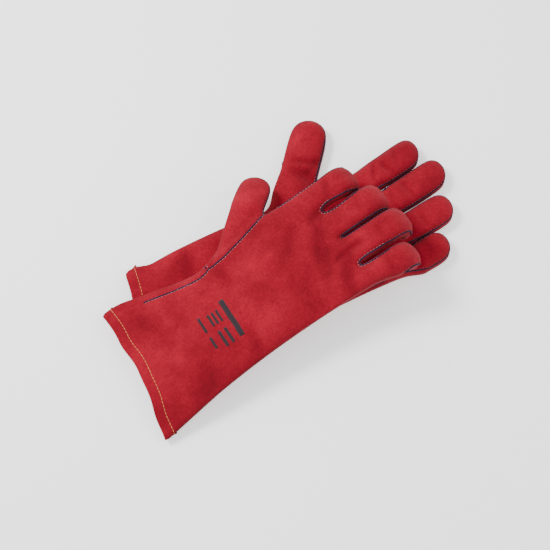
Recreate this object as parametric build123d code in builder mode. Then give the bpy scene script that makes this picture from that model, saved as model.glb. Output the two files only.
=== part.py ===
"""A pair of five-finger gauntlet gloves in split leather, for welding.

The left glove lies palm up on the floor. The right glove lies palm down on top of it, propped
on its own curled fingertips, so that its knuckles stand higher than its cuff.

Each glove is drawn flat, in its own frame: x runs from the hem to the fingertips, y towards the
thumb, and z from the flat back (z = 0) to the palm, which rises gently from the hem to the
fingertips. The right glove is that form mirrored through the plane of its back. Leather shells,
dark welts in the seams and a cotton lining are separate pieces, and each digit is cut from the
hand across its middle joint, so that it can be raised there.

Row frame: +Z up, +X from the hems to the fingertips, +Y towards the thumbs, origin on the floor
under the centre of the box that holds the pair. Millimetres.
"""
from build123d import *
from dataclasses import dataclass
from functools import lru_cache
from math import cos, radians, sin
import os

# Leather, lining and seams
LEATHER = 2.0            # split leather with its seam allowance
LINING = 1.2
LINING_FIT = 0.2         # free play between the lining and the leather
EDGE_RADIUS = 6.0        # rounding of the panels towards their seams
WELT_LOW = 6.2           # height of the side welt above the back plane
WELT_THICK = 1.6
WELT_PROUD = 1.5         # how far a welt stands out of its seam
WELT_HIGH = WELT_LOW + WELT_THICK
FOURCHETTE_HIGH = 12.5   # top of the strip between two fingers
FOURCHETTE_DEEP = 8.0    # how far that strip reaches back past the crotch

# The flat glove
OVERRUN = 20.0           # drawn past the hem, and cut off there
HEM_HALF_WIDTH = 74.0
HEM_THICK = 14.5
THICK_SLOPE = 0.018      # growth of the thickness towards the fingertips
HEM_FOLD = 12.0          # depth of the turned-in hem
WRIST_SEAM = 119.0       # distance of the palm side's wrist seam from the hem
CROTCH = 252.0           # distance of the finger crotches from the hem
FINGER_PITCH = 34.5
FINGER_WIDTH = 29.5
FINGER_TIP_RADIUS = 12.0
CROTCH_RADIUS = 2.0
THUMB_WIDTH = 37.0
THUMB_TIP_RADIUS = 16.0
PALM_HALF_WIDTH = 1.5 * FINGER_PITCH + FINGER_WIDTH / 2

# The middle joints
JOINT_GAP = 0.6          # between a digit and the hand
FOLD_RADIUS = 1.5        # inside radius of a curled finger
ROOT_OVERLAP = 20.0      # how far a digit's outline reaches back into the hand
BLOCK_MARGIN = 0.4       # past a digit's welts, for the block that cuts it off
LARGE = 500.0            # longer than a glove

FINGERS = ("index", "middle", "ring", "little")
SEAMS = (                # the hand's side pieces, from the little finger's side to the thumb's
    "little_side_welt",
    "ring_little_fourchette",
    "middle_ring_fourchette",
    "index_middle_fourchette",
    "thumb_crotch_welt",
    "thumb_side_welt",
)


@dataclass(frozen=True)
class Digit:
    """A finger or thumb: its root and heading on the plan, and its lengths."""

    name: str
    root: tuple          # x, y on the plan
    heading: float       # degrees from +x towards +y
    joint: float         # from the root to the middle joint
    tip: float           # from the middle joint to the fingertip
    width: float
    tip_radius: float
    curl: float = 0.0    # degrees that the digit is bent towards the palm

    def along(self, distance):
        return (
            self.root[0] + distance * cos(radians(self.heading)),
            self.root[1] + distance * sin(radians(self.heading)),
        )

    @property
    def joint_plane(self):
        """The digit's own frame: origin on the back plane at its middle joint."""
        direction = (cos(radians(self.heading)), sin(radians(self.heading)), 0)
        return Plane(origin=(*self.along(self.joint), 0), x_dir=direction, z_dir=(0, 0, 1))


@dataclass(frozen=True)
class Glove:
    """One glove's own sizes, and how it lies."""

    side: str
    wrist_half_width: float   # on the thumb's side
    digits: tuple
    hem: tuple                # row-frame position of the middle of the hem, on the back plane
    turn: float               # degrees about Z
    pitch: float              # degrees that the fingertips are raised

    @property
    def place(self):
        return Location(self.hem, (0, 0, self.turn)) * Location((0, 0, 0), (0, -self.pitch, 0))


def fingers(joints, tips, curl):
    """The four fingers, index first, with their roots on the line of the crotches."""
    return tuple(
        Digit(name, (CROTCH, (1.5 - i) * FINGER_PITCH), 0, joints[i], tips[i],
              FINGER_WIDTH, FINGER_TIP_RADIUS, curl)
        for i, name in enumerate(FINGERS)
    )


LEFT = Glove(
    "left",
    wrist_half_width=70.0,
    digits=fingers(joints=(40, 48, 40, 29), tips=(45, 50, 43, 33), curl=0)
    + (Digit("thumb", (195, 67), 50, 22, 64, THUMB_WIDTH, THUMB_TIP_RADIUS),),
    hem=(-153.4, -13.0, 0.0),
    turn=-2.0,
    pitch=0.0,
)
RIGHT = Glove(
    "right",
    wrist_half_width=54.0,
    digits=fingers(joints=(27, 40, 46, 34), tips=(26, 27, 25, 16), curl=90)
    + (Digit("thumb", (162, 58), 43, 38, 46, THUMB_WIDTH, THUMB_TIP_RADIUS, curl=24),),
    hem=(-194.4, -43.0, 24.5),
    turn=3.5,
    pitch=8.5,
)


def thickness(x):
    """Height of the palm surface above the back plane."""
    return HEM_THICK + THICK_SLOPE * x


def zone(x=(-LARGE, LARGE), y=(-LARGE, LARGE), z=(-LARGE, LARGE)):
    """A block between two limits on each axis."""
    with BuildPart() as block:
        middle = ((x[0] + x[1]) / 2, (y[0] + y[1]) / 2, (z[0] + z[1]) / 2)
        with Locations(middle):
            Box(x[1] - x[0], y[1] - y[0], z[1] - z[0])
    return block.part


def digit_outline(digit):
    """A digit's plan, reaching back into the hand."""
    length = digit.joint + digit.tip
    middle = digit.along((length - ROOT_OVERLAP) / 2)
    with BuildSketch() as shape:
        with Locations(Location((*middle, 0), (0, 0, digit.heading))):
            Rectangle(length + ROOT_OVERLAP, digit.width)
        tips = shape.vertices().sort_by_distance((*digit.along(length), 0))[:2]
        fillet(tips, radius=digit.tip_radius)
    return shape.sketch


def outline(glove):
    """The flat glove's plan, drawn past its hem."""
    edge = PALM_HALF_WIDTH
    with BuildSketch() as plan:
        with BuildLine():
            Polyline(
                (-OVERRUN, -HEM_HALF_WIDTH),
                (0, -HEM_HALF_WIDTH),
                (170, -edge),
                (CROTCH, -edge),
                (CROTCH, edge),
                (200, edge),
                (100, glove.wrist_half_width),
                (0, HEM_HALF_WIDTH),
                (-OVERRUN, HEM_HALF_WIDTH),
                close=True,
            )
        make_face()
        for digit in glove.digits:
            add(digit_outline(digit))
        offset(amount=CROTCH_RADIUS)
        offset(amount=-CROTCH_RADIUS)
    return plan.sketch


@lru_cache(maxsize=None)
def slab(glove, grow):
    """The whole flat glove as one filled solid, grown or shrunk all round by an amount."""
    palm = Plane(origin=(0, 0, HEM_THICK + grow), x_dir=(1, 0, THICK_SLOPE), z_dir=(-THICK_SLOPE, 0, 1))
    with BuildPart() as body:
        with BuildSketch(Plane.XY.offset(-grow)):
            add(outline(glove))
            if grow:
                offset(amount=grow)
        extrude(amount=2 * HEM_THICK)
        split(bisect_by=palm, keep=Keep.BOTTOM)
        back_face = body.faces().sort_by(Axis.Z)[0]
        palm_face = body.faces().sort_by(Axis.Z)[-1]
        fillet(back_face.edges() + palm_face.edges(), radius=EDGE_RADIUS + grow)
    return body.part


def layer(glove, outer, inner, *zones):
    """The wall between two slabs, inside one or more zones."""
    with BuildPart() as wall:
        add(slab(glove, outer))
        add(slab(glove, inner), mode=Mode.SUBTRACT)
        for block in zones:
            add(block, mode=Mode.INTERSECT)
    return wall.part


def digit_block(digit, start):
    """In the digit's own frame, a block round everything further out than a distance."""
    half = digit.width / 2 + WELT_PROUD + BLOCK_MARGIN
    return zone(x=(start, digit.tip + 10), y=(-half, half), z=(-40, 60))


def cut_off(digit, whole, start):
    """In the digit's own frame, the part of a flat piece further out than a distance."""
    with BuildPart() as piece:
        add(digit.joint_plane.to_local_coords(whole))
        add(digit_block(digit, start), mode=Mode.INTERSECT)
    return piece.part


def bend_axis(digit):
    """In the digit's own frame, the line on the palm side that a curled digit bends round."""
    height = thickness(digit.along(digit.joint)[0]) + FOLD_RADIUS
    return Axis((0, 0, height), (0, -1, 0))


def half_elbow(digit, flat):
    """The hand's half of the bend of a curled digit, revolved from the cut across a flat piece."""
    sections = flat.faces().filter_by_position(Axis.X, -0.01, 0.01)
    with BuildPart() as half:
        revolve(sections, axis=bend_axis(digit), revolution_arc=digit.curl / 2)
    return half.part


def digit_piece(digit, whole):
    """The part of a flat piece that belongs to one digit, in its resting curl."""
    if not digit.curl:
        return digit.joint_plane.from_local_coords(cut_off(digit, whole, JOINT_GAP))
    axis = bend_axis(digit)
    flat = cut_off(digit, whole, 0)
    middle = Plane(origin=axis.position, z_dir=(1, 0, 0)).rotated((0, -digit.curl / 2, 0))
    with BuildPart() as piece:
        add(half_elbow(digit, flat).rotate(axis, digit.curl / 2))
        split(bisect_by=middle.offset(JOINT_GAP), keep=Keep.TOP)
        add(flat.rotate(axis, digit.curl))
    return digit.joint_plane.from_local_coords(piece.part)


def hand_piece(glove, whole, bends=True):
    """The part of a flat piece that belongs to the hand, with its half of each curled joint."""
    with BuildPart() as hand:
        add(whole)
        for digit in glove.digits:
            plane = digit.joint_plane
            add(plane.from_local_coords(digit_block(digit, 0)), mode=Mode.SUBTRACT)
            if digit.curl and bends:
                add(plane.from_local_coords(half_elbow(digit, cut_off(digit, whole, 0))))
    return hand.part


def export(glove, name, flat):
    """Lay a finished flat piece where its glove lies, and write it."""
    if glove is RIGHT:
        flat = flat.mirror(Plane.XY)
    piece = flat.moved(glove.place)
    piece.label = f"{glove.side}_{name}"
    export_step(piece, f"parts/{piece.label}.step")


def leather_pieces(glove):
    """The flat back, palm, cuff palm and side layers of a glove, before its digits are cut off."""
    past_hem = zone(x=(0, LARGE))
    web = zone(
        x=(CROTCH - FOURCHETTE_DEEP, LARGE),
        y=(-1.5 * FINGER_PITCH, 1.5 * FINGER_PITCH),
        z=(WELT_HIGH, FOURCHETTE_HIGH),
    )
    back = layer(glove, 0, -LEATHER, past_hem, zone(z=(-LARGE, WELT_LOW)))
    above = layer(glove, 0, -LEATHER, past_hem, zone(z=(WELT_HIGH, LARGE)))
    with BuildPart() as palm:
        add(above)
        add(web, mode=Mode.SUBTRACT)
        add(zone(x=(-LARGE, WRIST_SEAM + WELT_THICK)), mode=Mode.SUBTRACT)
    with BuildPart() as cuff_palm:
        add(above)
        add(zone(x=(WRIST_SEAM, LARGE)), mode=Mode.SUBTRACT)
    with BuildPart() as sides:
        with BuildSketch(Plane.XY.offset(WELT_LOW)):
            add(outline(glove))
            offset(amount=WELT_PROUD)
        extrude(amount=WELT_THICK)
        add(slab(glove, -LEATHER), mode=Mode.SUBTRACT)
        add(past_hem, mode=Mode.INTERSECT)
        add(layer(glove, 0, -LEATHER, web))
    return back, palm.part, cuff_palm.part, sides.part


def wrist_welt(glove):
    """The welt across the palm side, between the cuff and the hand."""
    seam = Plane.YZ.offset(WRIST_SEAM)
    with BuildPart() as hand:
        add(slab(glove, 0))
        split(bisect_by=seam, keep=Keep.TOP)
    section = hand.faces().sort_by(Axis.X)[0].bounding_box()
    with BuildPart() as welt:
        with BuildSketch(seam):
            with Locations((section.center().Y, section.center().Z)):
                RectangleRounded(
                    section.size.Y + 2 * WELT_PROUD,
                    section.size.Z + 2 * WELT_PROUD,
                    radius=EDGE_RADIUS + WELT_PROUD,
                )
        extrude(amount=WELT_THICK)
        add(slab(glove, -LEATHER), mode=Mode.SUBTRACT)
        add(zone(z=(WELT_HIGH, LARGE)), mode=Mode.INTERSECT)
    return welt.part


def lining_pieces(glove):
    """The cotton lining of the cuff and of the hand, ending at the middle joints."""
    room = -LEATHER - LINING_FIT
    whole = layer(glove, room, room - LINING, zone(x=(HEM_FOLD, LARGE)))
    lining = hand_piece(glove, whole, bends=False)
    with BuildPart() as cuff:
        add(lining)
        split(bisect_by=Plane.YZ.offset(WRIST_SEAM), keep=Keep.BOTTOM)
    with BuildPart() as hand:
        add(lining)
        split(bisect_by=Plane.YZ.offset(WRIST_SEAM), keep=Keep.TOP)
    return cuff.part, hand.part


def build(glove):
    """Make and write every piece of one glove."""
    back, palm, cuff_palm, sides = leather_pieces(glove)
    lining_cuff, lining_hand = lining_pieces(glove)
    export(glove, "back_panel", hand_piece(glove, back))
    export(glove, "palm_panel", hand_piece(glove, palm))
    export(glove, "cuff_palm_panel", cuff_palm)
    export(glove, "cuff_hem", layer(glove, -LEATHER, -2 * LEATHER, zone(x=(0, HEM_FOLD))))
    export(glove, "wrist_welt", wrist_welt(glove))
    export(glove, "lining_cuff", lining_cuff)
    export(glove, "lining_hand", lining_hand)
    seams = hand_piece(glove, sides).solids().sort_by(Axis.Y)
    for name, seam in zip(SEAMS, seams, strict=True):
        export(glove, name, seam)
    for digit in glove.digits:
        export(glove, digit.name + "_back", digit_piece(digit, back))
        export(glove, digit.name + "_palm", digit_piece(digit, palm))
        export(glove, digit.name + "_sides", digit_piece(digit, sides))


os.makedirs("parts", exist_ok=True)
build(LEFT)
build(RIGHT)
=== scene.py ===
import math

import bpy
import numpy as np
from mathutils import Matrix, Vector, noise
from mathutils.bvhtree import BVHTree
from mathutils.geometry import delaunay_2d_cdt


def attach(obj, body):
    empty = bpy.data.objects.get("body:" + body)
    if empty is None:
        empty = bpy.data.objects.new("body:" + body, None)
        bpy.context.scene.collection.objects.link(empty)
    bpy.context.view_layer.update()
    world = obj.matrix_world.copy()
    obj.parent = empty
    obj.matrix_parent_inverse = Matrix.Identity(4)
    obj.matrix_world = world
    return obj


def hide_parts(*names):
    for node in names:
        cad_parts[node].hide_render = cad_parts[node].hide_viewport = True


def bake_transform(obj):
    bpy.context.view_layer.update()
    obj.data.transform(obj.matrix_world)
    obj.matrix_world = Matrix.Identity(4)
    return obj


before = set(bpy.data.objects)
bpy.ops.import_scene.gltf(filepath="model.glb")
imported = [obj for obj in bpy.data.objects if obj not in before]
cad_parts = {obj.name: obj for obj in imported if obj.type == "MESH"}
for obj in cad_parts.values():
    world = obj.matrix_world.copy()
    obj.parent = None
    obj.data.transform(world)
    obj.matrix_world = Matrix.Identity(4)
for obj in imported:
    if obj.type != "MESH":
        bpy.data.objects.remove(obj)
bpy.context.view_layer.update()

# A pair of red split-leather welding gauntlets. Each glove's skin is drawn flat, triangulated
# with its seams as edges, puffed up, curled and laid where its CAD solids are. It is then cut
# along the seams into leather panels. Welts, threads, the folded hem and the lining follow it.
#
# Flat glove: x from the hem to the fingertips, y towards the thumb, z up as it lies. Millimetres
# until a mesh is made, and metres from then on.

MM = 0.001

# The flat glove, with the part's own sizes
HEM_HALF = 74.0
PALM_HALF = 66.5
WRIST_SEAM = 119.0
CROTCH = 252.0
FINGER_PITCH = 34.5
HEM_THICK = 14.5
THICK_SLOPE = 0.018
FINGERS = ("index", "middle", "ring", "little")
BEND_INSIDE = 1.5        # inside radius of a curled digit
TIP_LENGTH = 1.15        # a digit's rounded end, in half widths
TIP_WIDTH = 0.98         # its width there, in half widths

# The skin
SPACING = 2.2            # between neighbouring points of the skin
RINGS = (0.8, 2.2, 4.2)  # points along the outline, this far inside it
WIDEN = 0.11             # how much wider an open finger's end lies than its pattern
RIM_SEAM = 0.35          # a seam less than this inside the outline runs on it
LEATHER = 1.6
LINING_IN = 2.1          # from the leather's outside to the lining's outside
LINING_THICK = 0.9
HEM_FOLD = 12.0
HEM_STITCH = 9.5
LINING_START = 13.0
LINING_END = 243.0
GROOVE = 0.9             # how far a seam sinks into the leather
RING_APART = 0.75        # least distance from a ring's point to any other
FIELD_APART = 1.35       # the same for the even field inside
BATCH = 1500             # points measured at a time
FINGER_ROLL = 13.0       # width over which a finger rounds off towards its seam
HAND_ROLL = 24.0         # the same on the palm and cuff
UNDER_ROLL_LEFT = 8.0    # and on the underside
UNDER_ROLL_RIGHT = 12.0
THUMB_DROP = 3.2
FOLD_DEPTH = 2.1         # of a fold whose own depth is 1
NOISE_SEEDS = {"left": 11.0, "right": 47.0}
INNER_LOW = 2.4          # a fourchette's lower seam, inside the outline
WELT_RADIUS = 0.68
THREAD_RADIUS = 0.24
FLOOR_CLEAR = 0.05       # the folded hem's least height above the floor
SEAM_STITCH = 1.5        # from a seam to the stitches beside it
WRIST_STITCH = 2.0


# ---------------------------------------------------------------- digits and gloves

def thickness(x):
    """The flat glove's thickness at this distance from the hem."""
    return HEM_THICK + THICK_SLOPE * x


class Digit:
    """A finger or thumb on the flat glove, and how it curls."""

    def __init__(self, name, root, heading, joint, tip, half, feet, fold=0.0, cut_back=12.0, spread=0.0):
        self.name = name
        self.root = np.array(root, float)
        angle = math.radians(heading)
        self.along = np.array((math.cos(angle), math.sin(angle)))
        self.across = np.array((-math.sin(angle), math.cos(angle)))
        self.joint = joint
        self.half = half
        self.feet = feet         # half widths at its root, on its low side and its high side
        self.spread = spread     # how far its tip leans towards the thumb
        self.curl = math.radians(fold)
        self.depth = thickness(self.plan(joint, 0)[0])
        self.pivot = -self.depth - BEND_INSIDE    # the height that it curls round
        self.bend_radius = thickness(root[0] + joint) / 2 + BEND_INSIDE
        self.bend_length = self.curl * self.bend_radius
        self.length = joint + self.bend_length + tip
        self.cut = joint - cut_back
        self.reach = half + 4 if name == "thumb" else FINGER_PITCH / 2

    def local(self, xy):
        """Distance along and across the digit from its root."""
        rel = np.asarray(xy, float) - self.root
        return rel @ self.along, rel @ self.across

    def holds(self, xy, start):
        """Which points are on the digit, at least this far from its root."""
        u, v = self.local(xy)
        return (u > start) & (abs(v) < self.reach)

    def plan(self, u, v):
        return self.root + self.along * u + self.across * v


def four_fingers(joints, tips, halves, gaps, fold, cut_back, spreads=(0, 0, 0, 0)):
    """The fingers, index first. The gaps are those between their roots."""
    feet = [(FINGER_PITCH - gap) / 2 for gap in gaps]
    outer = PALM_HALF - 1.5 * FINGER_PITCH
    low = (*feet, outer)
    high = (outer, *feet)
    fingers = []
    for i, name in enumerate(FINGERS):
        root = (CROTCH, (1.5 - i) * FINGER_PITCH)
        sides = (low[i], high[i])
        sizes = (joints[i], tips[i], halves[i], sides)
        fingers.append(Digit(name, root, 0, *sizes, fold, cut_back, spreads[i]))
    return fingers


class Glove:
    """The sizes of one glove and how it lies."""

    def __init__(self, side, digits, hem, turn, pitch, wrist_half, low, high, seams, root_seam, waist):
        self.side = side
        self.digits = digits
        self.hem = np.array(hem, float)
        self.turn = math.radians(turn)
        self.pitch = math.radians(pitch)
        self.wrist_half = wrist_half
        self.low = low           # from the outline down to the underside
        self.high = high         # from the outline up to the upper side
        self.seams = seams       # how far inside the outline the seams run, above and below
        self.root_seam = root_seam  # where the back's seam crosses the thumb's root
        self.waist = waist       # how far the little-finger side is drawn in
        self.digits[3].feet = (self.digits[3].feet[0] - 0.6 * waist, self.digits[3].feet[1])
        self.palm_up = side == "left"
        self.level = low if self.palm_up else -high

    def place(self, co):
        """From the flat glove's frame to the row's frame."""
        x, y, z = co[:, 0], co[:, 1], co[:, 2]
        c, s = math.cos(self.pitch), math.sin(self.pitch)
        x, z = x * c - z * s, x * s + z * c
        c, s = math.cos(self.turn), math.sin(self.turn)
        return np.stack((x * c - y * s, x * s + y * c, z), 1) + self.hem


LEFT = Glove(
    "left",
    digits=four_fingers(
        joints=(40, 48, 40, 29),
        tips=(50, 56, 51, 38),
        halves=(16.5, 16.7, 16.7, 16.4),
        gaps=(3.6, 2.2, 3.0),
        fold=0,
        cut_back=12,
        spreads=(12, 12.5, 7, 5.5),
    )
    + [Digit("thumb", (192.7, 69.0), 50, 22, 75.5, 21.3, (21.0, 24.0), cut_back=-1)],
    hem=(-153.4, -13.0, 0.0),
    turn=-2.0,
    pitch=0.0,
    wrist_half=75.0,
    low=7.0,
    high=10.0,
    seams={
        "little": (2.6, 0),
        "tip": (1.3, 0),
        "inner": (1.8, 1.8, 1.8),
        "thumb_low": (1.5, 0),
        "thumb_tip": (1.2, 0),
        "thumb_high": (0, 2.5),
        "wrist": (0, 3),
    },
    root_seam=None,
    waist=8.5,
)
RIGHT = Glove(
    "right",
    digits=four_fingers(
        joints=(27, 40, 46, 34),
        tips=(26, 27, 25, 16),
        halves=(16.2, 16.4, 16.4, 15.2),
        gaps=(5.0, 1.3, 2.8),
        fold=90,
        cut_back=13,
    )
    + [Digit("thumb", (161.3, 58.7), 43, 38, 40, 17.9, (18.5, 19.0), fold=24, cut_back=-3)],
    hem=(-194.4, -43.0, 24.5),
    turn=3.5,
    pitch=8.5,
    wrist_half=54.0,
    low=9.0,
    high=8.0,
    seams={
        "little": (0, 4),
        "tip": (1.3, 0),
        "inner": (2.2, 1.0, 1.9),
        "thumb_low": (0, 0),
        "thumb_tip": (0, 0),
        "thumb_high": (0, 3),
        "wrist": (8.5, 0),
    },
    root_seam=((140, 51), (165, 56.5), (186, 62.5)),
    waist=8.5,
)


# ---------------------------------------------------------------- outline

def outline_points(glove):
    """The outline's own points from the hem's little-finger corner round to its thumb corner.

    Each is (x, y, inset of the upper seam, inset of the lower seam, owner of the rim)."""
    seam = glove.seams
    side_owner = "under" if seam["little"][0] else "over"
    little_side = (
        (0, -HEM_HALF),
        (60, -HEM_HALF + 2.6 + 0.7 * glove.waist),
        (WRIST_SEAM, -HEM_HALF + 5.2 + glove.waist),
        (180, -PALM_HALF - 0.4 + glove.waist),
        (235, -PALM_HALF + 0.85 * glove.waist),
    )
    points = [(*p, *seam["little"], side_owner) for p in little_side]
    for i, digit in enumerate(glove.digits[3::-1]):
        if i == 0:
            points += digit_side(digit, -1, seam["little"], seam["tip"], side_owner)
        else:
            points += digit_side(digit, -1, inner, seam["tip"], "fourchette")
        points += digit_tip(digit, seam["tip"])
        if i < 3:
            inner = (seam["inner"][2 - i], INNER_LOW)
            points += digit_side(digit, 1, inner, seam["tip"], "fourchette")
            middle = digit.root[1] + FINGER_PITCH / 2
            points.append((CROTCH, middle, *inner, "fourchette"))
        else:
            points += digit_side(digit, 1, seam["tip"], seam["tip"], "under")
    thumb = glove.digits[4]
    points += [(*p, *seam["thumb_low"], "under") for p in thumb_crotch(thumb)]
    points += digit_side(thumb, -1, seam["thumb_low"], seam["thumb_low"], "under")[3:]
    tip = digit_tip(thumb, seam["thumb_tip"])
    points += tip[:-1] + [(*tip[-1][:2], 0, 0, "under")]
    points += digit_side(thumb, 1, seam["thumb_high"], seam["thumb_high"], "under")
    foot = thumb.plan(-16, thumb.feet[1] + 1.5)
    points.append((*foot, *seam["thumb_high"], "under"))
    cuff_side = (
        (WRIST_SEAM - 8, glove.wrist_half + 0.5),
        (55, (glove.wrist_half + HEM_HALF) / 2 + 1),
        (22, HEM_HALF - 0.5),
        (8, HEM_HALF + 0.5),
        (0, HEM_HALF),
    )
    return points + [(*p, *seam["wrist"], "under") for p in cuff_side]


def thumb_crotch(thumb):
    """The rounded corner between the index finger's side and the thumb."""
    low = thumb.plan(0, -thumb.half)
    corner = low + thumb.along * (PALM_HALF - low[1]) / thumb.along[1]
    between = np.array((1.0, 0.0)) + thumb.along
    between /= np.linalg.norm(between)
    return corner + np.array((9.0, 0.0)), corner + between * 4.0, corner + thumb.along * 9.0


def digit_side(digit, sign, base_seam, tip_seam, owner):
    """A digit's low side (-1) from its root to its tip, or its high side (1) the other way."""
    knuckle = digit.length - digit.half * TIP_LENGTH
    middle = min(34.0, 0.55 * knuckle)
    foot = digit.feet[0 if sign < 0 else 1]
    tip_owner = owner if owner != "fourchette" else "under"
    side = [
        (*digit.plan(7, sign * foot), *base_seam, owner),
        (*digit.plan(middle, sign * digit.half), base_seam[0], base_seam[1] * 0.8, owner),
        (*digit.plan(middle + 6, sign * digit.half), min(base_seam[0], tip_seam[0]), 0, tip_owner),
        (*digit.plan(knuckle, sign * digit.half * TIP_WIDTH), *tip_seam, "under"),
    ]
    return side[::sign * -1]


def digit_tip(digit, seam):
    """The rounded end of a digit, from its low side to its high side."""
    reach = digit.half * TIP_LENGTH
    points = []
    for angle in (-62, -34, 0, 34, 62):
        a = math.radians(angle)
        u = digit.length - reach + reach * math.cos(a) ** 0.9
        v = digit.half * TIP_WIDTH * math.copysign(abs(math.sin(a)) ** 0.95, math.sin(a))
        points.append((*digit.plan(u, v), *seam, "under"))
    return points


def between(s, start, end, a, b):
    """Where a straight run from a, at start, to b, at end, has got to at s."""
    return (end - s) / (end - start) * a + (s - start) / (end - start) * b


def smooth_line(points, steps=14):
    """A centripetal Catmull-Rom curve through the points, carrying their other values straight."""
    values = np.array([p[:4] for p in points], float)
    owners = [p[4] for p in points]
    padded = np.vstack((2 * values[0] - values[1], values, 2 * values[-1] - values[-2]))
    dense, names = [], []
    for i in range(1, len(padded) - 2):
        p = padded[i - 1:i + 3, :2]
        t = [0.0]
        for k in range(3):
            t.append(t[-1] + max(np.linalg.norm(p[k + 1] - p[k]), 1e-6) ** 0.5)
        for k in range(steps):
            share = k / steps
            s = t[1] + (t[2] - t[1]) * share
            first = [between(s, t[j], t[j + 1], p[j], p[j + 1]) for j in range(3)]
            second = [between(s, t[j], t[j + 2], first[j], first[j + 1]) for j in range(2)]
            xy = between(s, t[1], t[2], *second)
            inset = padded[i, 2:] * (1 - share) + padded[i + 1, 2:] * share
            dense.append((*xy, *inset))
            names.append(owners[i - 1])
    dense.append(tuple(values[-1]))
    names.append(owners[-1])
    return np.array(dense), names


def left_of(line):
    """At each point of a line, the direction square to it, on its left."""
    tangent = np.gradient(line, axis=0)
    tangent /= np.linalg.norm(tangent, axis=1)[:, None] + 1e-9
    return np.stack((-tangent[:, 1], tangent[:, 0]), 1)


class Outline:
    """The outline, evenly sampled, with its normals and its seam insets."""

    def __init__(self, glove):
        dense, names = smooth_line(outline_points(glove))
        seam = dense[:, :2] + left_of(dense[:, :2]) * dense[:, 2:3]
        steps = np.linalg.norm(np.diff(dense[:, :2], axis=0), axis=1)
        steps = np.maximum(steps, 0.8 * np.linalg.norm(np.diff(seam, axis=0), axis=1))
        run = np.concatenate(((0,), np.cumsum(steps)))
        count = int(round(run[-1] / SPACING))
        at = np.linspace(0, run[-1], count + 1)
        self.xy = np.stack([np.interp(at, run, dense[:, k]) for k in (0, 1)], 1)
        self.upper = np.interp(at, run, dense[:, 2])
        self.lower = np.interp(at, run, dense[:, 3])
        self.owner = [names[np.searchsorted(run, a + 1e-6) - 1] for a in at]
        self.normal = left_of(self.xy)
        self.normal[0] = (0, 1)
        self.normal[-1] = (0, -1)

    @property
    def polygon(self):
        """The outline as a closed run of points."""
        return np.vstack((self.xy, self.xy[:1]))

    def snap(self, centre, across, reach):
        """Move the nearest sample on each side onto a line across the glove. Returns their numbers."""
        centre = np.asarray(centre, float)
        across = np.asarray(across, float)
        along = np.array((across[1], -across[0]))
        found = []
        for sign in (-1, 1):
            rel = self.xy - centre
            off, side = rel @ along, rel @ across * sign
            off = np.where((side > 0) & (side < reach), abs(off), 1e9)
            i = int(np.argmin(off))
            self.xy[i] -= along * ((self.xy[i] - centre) @ along)
            self.normal[i] = -sign * across
            found.append(i)
        return found

    def distance(self, points):
        """Distance from each point to the outline, leaving out the hem, and the nearest sample."""
        a, b = self.xy[:-1], self.xy[1:]
        ab = b - a
        length = (ab ** 2).sum(1)
        best = np.full(len(points), 1e9)
        near = np.zeros(len(points), int)
        for start in range(0, len(points), BATCH):
            p = points[start:start + BATCH]
            t = np.clip(((p[:, None] - a) * ab).sum(2) / length, 0, 1)
            foot = a + ab * t[:, :, None]
            d = ((p[:, None] - foot) ** 2).sum(2)
            i = d.argmin(1)
            best[start:start + BATCH] = np.sqrt(d[np.arange(len(p)), i])
            near[start:start + BATCH] = i + (t[np.arange(len(p)), i] > 0.5)
        return best, near


def inside(polygon, points):
    """Which points lie inside a closed polygon."""
    x, y = points[:, 0], points[:, 1]
    result = np.zeros(len(points), bool)
    ax, ay = polygon[:-1, 0], polygon[:-1, 1]
    bx, by = polygon[1:, 0], polygon[1:, 1]
    for k in range(len(ax)):
        if ay[k] == by[k]:
            continue
        crosses = (ay[k] > y) != (by[k] > y)
        at = (bx[k] - ax[k]) * (y - ay[k]) / (by[k] - ay[k]) + ax[k]
        result ^= crosses & (x < at)
    return result


# ---------------------------------------------------------------- the flat skin

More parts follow.
